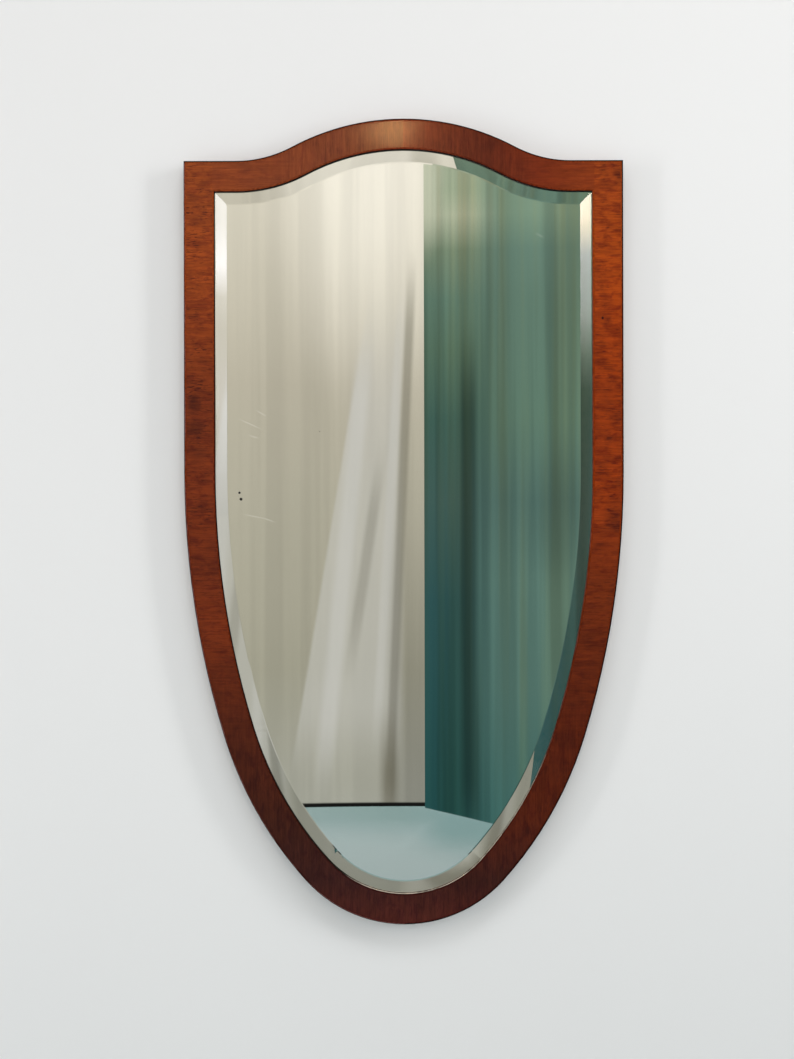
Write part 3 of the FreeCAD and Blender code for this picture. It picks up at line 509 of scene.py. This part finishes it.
def metal(name, bright, dull, dull_share, rough):
    """Worked metal: bright where rubbed, dull in patches, with fine filing lines."""
    material, shader, point = finish(name, Metallic=1.0)
    patch = rise(mottle(point, 0.004, 4.0), 0.62 - dull_share * 0.4, 0.78 - dull_share * 0.3)
    lines = streaks(point, 0.00025, (1.0, 1.0, 0.06))
    colour = shaded(mixed(0.7 * patch, bright, dull), 0.85 + 0.3 * lines)
    lay(shader, Base_Color=colour, Roughness=rough + 0.18 * patch + 0.12 * lines)
    lay(shader, Normal=raised(lines + patch, 0.00005, 0.4))
    return material


dress(metal("iron_screw", seen(128, 124, 118), seen(70, 50, 38), 0.55, 0.32), "back_board_screws")

# Hangers: a brass strap folded round the bar of a bent-wire ring, and screwed to the stile.
# The brass is tarnished brown, and the wire is rubbed bright where it turns in the eye.

strap_brass = metal("brass_strap", seen(188, 150, 90), seen(120, 88, 50), 0.45, 0.3)
dress(strap_brass, "hanger_strap_left", "hanger_strap_right")
ring_brass = metal("brass_ring", seen(204, 168, 102), seen(130, 96, 54), 0.35, 0.26)
dress(ring_brass, "hanger_ring_left", "hanger_ring_right")
dress(metal("brass_screw", seen(204, 166, 98), seen(112, 80, 42), 0.4, 0.3), "hanger_screws")

# Stage: a plain pale wall behind the mirror and a plain pale floor. The wall shows only from its
# front, so that the back of the mirror can be lit and looked at. For the plate to reflect there are
# a white and a green screen that glow with painted light and shade, the floor at their foot under
# a sheet of painted shade, and two bright panes for its gloss.

FLOOR_HEIGHT = -1.177
FLOOR_WIDE = 12
FLOOR_EDGE = seen(244, 246, 245)
WALL_WIDE = 8
WALL_HIGH = 6
WALL_GAP = 0.0015


def stage_sheet(name, columns, rows, place):
    """A sheet of quads; place gives each corner from its shares across and up."""
    corners = [place(column / columns, row / rows)
               for row in range(rows + 1) for column in range(columns + 1)]
    quads = []
    for row in range(rows):
        for column in range(columns):
            first = row * (columns + 1) + column
            quads.append((first, first + 1, first + columns + 2, first + columns + 1))
    mesh = bpy.data.meshes.new(name)
    mesh.from_pydata(corners, [], quads)
    sheet = bpy.data.objects.new(name, mesh)
    bpy.context.scene.collection.objects.link(sheet)
    return sheet


wall = stage_sheet("wall", 1, 1, lambda across, up: (
    WALL_WIDE * (across - 0.5), WALL_GAP, FLOOR_HEIGHT + WALL_HIGH * up))
wall.visible_diffuse = False
wall.visible_glossy = False
wall.visible_transmission = False
wall.visible_shadow = False
wall_paint, wall_shader, wall_point = finish("wall_paint", Roughness=0.9, Specular_IOR_Level=0.1)
wall_grain = mottle(wall_point, 0.004, 3.0)
wall_cloud = mottle(wall_point, 0.8)
lay(wall_shader, Base_Color=mixed(wall_cloud, seen(230, 230, 230), seen(234, 234, 234)))
lay(wall_shader, Normal=raised(wall_grain, 0.0003, 0.15))
lay(wall_shader, Alpha=1 - wall_point.node("NewGeometry", {}, {}, "Backfacing"))
wall.data.materials.append(wall_paint)

floor = stage_sheet("floor", 1, 1, lambda across, up: (
    FLOOR_WIDE * (across - 0.5), FLOOR_WIDE * (up - 0.5), FLOOR_HEIGHT))
floor_paint, floor_shader, floor_point = finish("floor_paint", Roughness=0.6, Specular_IOR_Level=0.2)
floor_cloud = mottle(floor_point, 0.5)
floor_reach = scaled(floor_point, (1.0, 1.0, 0.0))
floor_reach = floor_reach.node("VectorMath", {"operation": "LENGTH"}, {0: floor_reach}, 1)
floor_tone = mixed(floor_cloud, seen(155, 171, 171), seen(163, 178, 179))
lay(floor_shader, Base_Color=mixed(rise(floor_reach, 3.7, 4.4), floor_tone, FLOOR_EDGE))
lay(floor_shader, Alpha=1 - rise(floor_reach, 4.0, 5.0))
floor.data.materials.append(floor_paint)

# Painted light: the white screen is lighter up high and glows near the top.
WARM_WHITE = [(-1.16, seen(170, 169, 158)), (-0.6, seen(167, 163, 146)), (0.1, seen(180, 174, 157)),
              (0.6, seen(189, 181, 164)), (1.0, seen(206, 198, 181)), (1.7, seen(232, 224, 208))]
WHITE_GLOW = seen(252, 244, 230)
WHITE_FOOT_SHADOW = seen(24, 24, 23)
LIT_BAND = seen(214, 212, 209)
PALE_LEAN = 0.167
SHADED_BAND = seen(114, 110, 95)
WHITE_REACH = 4.0
SCREEN_TURN = 85
SCREEN_TOP = 2.44


def curved_screen(name, reach, left, right, low, high):
    """A bent screen round the stage, between two turns in degrees."""

    def place(across, up):
        turn = math.radians(left + (right - left) * across)
        return (reach * math.sin(turn), -reach * math.cos(turn), low + (high - low) * up)

    return stage_sheet(name, 120, 1, place)


def only_reflected(sheet):
    """Hides a sheet from all but reflections, and gives it a paint that glows with its own colour."""
    sheet.visible_camera = False
    sheet.visible_diffuse = False
    sheet.visible_shadow = False
    paint, shader, point = finish(sheet.name + "_paint", Base_Color=seen(0, 0, 0),
                                  Specular_IOR_Level=0.0, Emission_Strength=1.0)
    paint.cycles.emission_sampling = "NONE"
    sheet.data.materials.append(paint)
    return shader, point


def pleat_shaded(point, colour, depth):
    """A colour with painted shade of soft upright pleats, narrow and wide."""
    narrow = rise(streaks(point, 0.045, (1.0, 0.2, 0.02)), 0.36, 0.64)
    wide = rise(streaks(point, 0.15, (1.0, 0.2, 0.03)), 0.3, 0.7)
    return shaded(colour, 1 + depth - depth * narrow - depth * wide)


def band(point, x, lean, wide, low, high):
    """A soft upright band at x, which leans so far across for each metre up.

    It fades out below low and above high.
    """
    across = axis(point, 0) - lean * axis(point, 2) - x
    across = 1 - rise(across.maths("ABSOLUTE", across), 0.15 * wide, 0.6 * wide)
    up = axis(point, 2)
    return across * rise(up, low - 0.3, low + 0.1) * (1 - rise(up, high - 0.1, high + 0.3))


white_shader, white_point = only_reflected(
    curved_screen("white_screen", WHITE_REACH, -SCREEN_TURN, SCREEN_TURN, FLOOR_HEIGHT, SCREEN_TOP))
white_across = axis(white_point, 0)
white_height = axis(white_point, 2)
glow = 1 - rise(distance(white_point, -0.12, 1.75, 0.95, 2.6), 0.15, 1.1)
white = mixed(glow, along(white_height, WARM_WHITE), WHITE_GLOW)
white = pleat_shaded(white_point, white, 0.08)
# Painted highlight: a lit fold edge slants down across the screen.
lit_slope = rise(white_across - PALE_LEAN * white_height, -0.296, -0.278)
lit_slope = lit_slope * (1 - rise(white_across, -0.02, 0.03))
lit_slope = lit_slope * rise(white_height, -1.1, -0.7) * (1 - rise(white_height, 0.4, 1.1))
white = mixed(lit_slope * 0.4, white, LIT_BAND)
# Painted light and shade of folds: lit bands and shaded bands.
for colour, strength, x, lean, wide, low, high in (
        (LIT_BAND, 0.4, -0.218, 0.1, 0.09, -0.9, 0.6),
        (LIT_BAND, 0.3, -0.045, 0.06, 0.05, -0.7, 0.8),
        (SHADED_BAND, 0.35, -0.12, 0.15, 0.06, -0.4, 0.1),
        (SHADED_BAND, 0.5, 0.005, 0.045, 0.05, -1.1, 0.9),
        (SHADED_BAND, 0.7, -0.045, 0.0, 0.09, -1.1, -1.0)):
    white = mixed(band(white_point, x, lean, wide, low, high) * strength, white, colour)
seam_shade = rise(white_across, -0.1, 0.05) * (1 - rise(white_height, -1.15, 0.6))
white = shaded(white, 1 - 0.32 * seam_shade)
# Painted shadow along the foot of the screen.
white = mixed(rise(white_height, FLOOR_HEIGHT + 0.013, FLOOR_HEIGHT + 0.022), WHITE_FOOT_SHADOW, white)
lay(white_shader, Emission_Color=white)

GREEN_NEAR = [(-1.06, seen(38, 78, 76)), (-0.27, seen(50, 83, 82)), (0.09, seen(68, 93, 86)),
              (0.39, seen(68, 95, 84)), (0.64, seen(88, 110, 91)), (0.83, seen(98, 120, 102)),
              (1.01, seen(122, 134, 109)), (1.14, seen(176, 176, 148)), (1.23, seen(162, 167, 138)),
              (1.5, seen(170, 172, 145))]
GREEN_FAR = [(-1.06, seen(68, 104, 97)), (-0.6, seen(88, 116, 105)), (-0.2, seen(92, 118, 106)),
             (0.09, seen(84, 108, 98)), (0.39, seen(93, 116, 99)), (0.83, seen(96, 117, 101)),
             (1.01, seen(101, 122, 106)), (1.14, seen(120, 138, 116)), (1.5, seen(128, 144, 121))]
GREEN_GLOW = seen(214, 214, 192)
GREEN_WARM = (1.06, 1.0, 0.92)
GREEN_COOL = (0.93, 1.01, 1.07)
GREEN_REACH = 3.2
GREEN_LEFT = 1.6
GREEN_SLOPE = 0.225

green_shader, green_point = only_reflected(
    curved_screen("green_screen", GREEN_REACH, GREEN_LEFT, SCREEN_TURN, FLOOR_HEIGHT, SCREEN_TOP))
green_across = axis(green_point, 0)
green_height = axis(green_point, 2)
far = rise(green_across, 0.19, 0.4)
green = mixed(far, along(green_height, GREEN_NEAR), along(green_height, GREEN_FAR))
tint = rise(streaks(green_point, 0.05, (1.0, 0.2, 0.02)), 0.36, 0.64)
green = mixed(tint, scaled(green, GREEN_WARM), scaled(green, GREEN_COOL))
green_glow = 1 - rise(distance(green_point, 0.08, 1.3, 0.2, 0.7), 0.2, 1.1)
green = mixed(green_glow * 0.7, green, GREEN_GLOW)
dark_band = band(green_point, 0.25, 0.0, 0.085, -1.0, 0.5)
dark_oval = 1 - rise(distance(green_point, 0.57, 0.04, 0.3, 0.7), 0.2, 1.0)
dark = either(0.5 * dark_band, 0.16 * dark_oval)
# Painted shade of pleats, and the green darkened in an upright strip and an oval.
green = shaded(pleat_shaded(green_point, green, 0.3), 1 - dark)
lower_edge = rise(green_height + GREEN_SLOPE * green_across, -1.013, -1.009)
lay(green_shader, Emission_Color=green, Alpha=lower_edge)

FOOT_WIDE = 3.0
FOOT_DEEP = 1.4
FOOT_BACK = 4.05
FOOT_LIFT = 0.001

# The screen foot is a sheet of painted shade over the floor, seen only in reflections.
foot = stage_sheet("screen_foot_shade", 1, 1, lambda across, up: (
    FOOT_WIDE * (across - 0.5), FOOT_DEEP * up - FOOT_BACK, FLOOR_HEIGHT + FOOT_LIFT))
foot_shader, foot_point = only_reflected(foot)
foot_across = axis(foot_point, 0)
foot_reach = 0.4 * foot_across - axis(foot_point, 1)
foot_shade = rise(foot_reach, 2.9, 3.6) * rise(foot_across, -0.05, 0.2)
foot_tone = mixed(foot_shade, seen(121, 150, 147), seen(120, 152, 151))
foot_cover = 0.8 * either(foot_shade, rise(foot_reach, 3.08, 4.0))
lay(foot_shader, Emission_Color=foot_tone, Alpha=foot_cover)

LEFT_PANE = [(0.0, seen(0, 0, 0)), (0.2, seen(86, 86, 88)), (0.5, seen(134, 133, 136)),
             (0.8, seen(66, 66, 68)), (0.93, seen(80, 80, 84)), (1.06, seen(196, 197, 212)),
             (1.25, seen(150, 151, 164)), (1.7, seen(150, 151, 164))]
RIGHT_PANE = [(0.47, seen(0, 0, 0)), (0.59, seen(82, 81, 80)), (0.735, seen(150, 144, 146)),
              (0.945, seen(170, 166, 174)), (1.05, seen(220, 203, 186)), (1.15, seen(255, 238, 220)),
              (1.5, seen(255, 238, 220))]
PANE_TURN = 3.5
PANE_GLOW = 28.0


def pane(name, reach, turn, stops):
    """A bright upright pane that only polished fronts show, its light changing with height."""
    low, high = stops[0][0], stops[-1][0]
    sheet = curved_screen(name, reach, turn - PANE_TURN, turn + PANE_TURN, low, high)
    sheet.visible_transmission = False
    shader, point = only_reflected(sheet)
    brightness = streaks(point, 0.2, (1.0, 1.0, 0.3)) * PANE_GLOW
    lay(shader, Emission_Color=shaded(along(axis(point, 2), stops), brightness))


pane("left_pane", 3.9, -25.2, LEFT_PANE)
pane("right_pane", 3.1, 26.7, RIGHT_PANE)

# Studio light: two tall soft lights of a narrowed spread, one each side and close to the wall,
# a broad one overhead, a fill in front, a small warm lamp above the camera, a soft light behind
# for the back of the mirror, and a pale surround.

SIDE_SPREAD = 120
LAMP_COLOUR = (1.0, 0.6, 0.24)
SKY_COLOUR = (0.94, 0.945, 0.95, 1.0)


def soft_light(name, place, aim, wide, high, power, colour=(1.0, 1.0, 1.0)):
    """A rectangle of light at a place, turned to its aim."""
    lamp = bpy.data.lights.new(name, "AREA")
    lamp.shape = "RECTANGLE"
    lamp.size = wide
    lamp.size_y = high
    lamp.energy = power
    lamp.color = colour
    stand = bpy.data.objects.new(name, lamp)
    stand.location = place
    stand.rotation_euler = (Vector(aim) - Vector(place)).to_track_quat("-Z", "Y").to_euler()
    stand.visible_transmission = False
    bpy.context.scene.collection.objects.link(stand)
    return stand


right_light = soft_light("light_right", (2.7, -1.5, 0.95), (0.0, 0.0, 0.2), 0.5, 2.0, 14.2)
left_light = soft_light("light_left", (-2.7, -1.5, -0.1), (0.0, 0.0, -0.25), 0.4, 2.0, 9.0)
soft_light("light_top", (0.0, -3.2, 4.4), (0.0, 0.0, 0.0), 4.0, 1.6, 80)
fill_light = soft_light("light_fill", (0.3, -4.2, 0.4), (0.0, 0.0, 0.0), 2.5, 2.5, 39)
for broad in (right_light, left_light, fill_light):
    broad.visible_glossy = False
for tall in (right_light, left_light):
    tall.data.spread = math.radians(SIDE_SPREAD)
soft_light("light_lamp", (-0.024, -2.6, 1.285), (0.0, 0.0, 0.3), 0.12, 0.08, 2.8, LAMP_COLOUR)
soft_light("light_back", (1.0, 3.4, 2.2), (0.0, 0.0, 0.0), 3.0, 3.0, 60)

world = bpy.data.worlds.new("surround")
bpy.context.scene.world = world
world.use_nodes = True
sky = world.node_tree.nodes["Background"]
sky.inputs["Color"].default_value = SKY_COLOUR
path = world.node_tree.nodes.new("ShaderNodeLightPath")
shown = Layer(path.outputs["Is Camera Ray"]) + Layer(path.outputs["Is Glossy Ray"])
shown = shown + Layer(path.outputs["Is Transmission Ray"])
shown = shown.maths("MINIMUM", shown, 1.0)
strength = 0.42 + 0.48 * shown
world.node_tree.links.new(strength.socket, sky.inputs["Strength"])

# Camera: square on to the mirror, a little below and left of its middle, as the photograph was taken.
# It is rolled by the photograph's own slight tilt.

CAMERA_PLACE = (-0.0107, -2.238, -0.012)
CAMERA_ROLL = 0.13

camera = bpy.data.objects.new("camera", bpy.data.cameras.new("camera"))
camera.data.lens = 50
camera.data.sensor_width = 36
camera.location = CAMERA_PLACE
camera.rotation_euler = (math.radians(90), math.radians(CAMERA_ROLL), 0.0)
bpy.context.scene.collection.objects.link(camera)
bpy.context.scene.camera = camera
bpy.context.scene.view_settings.view_transform = "Standard"
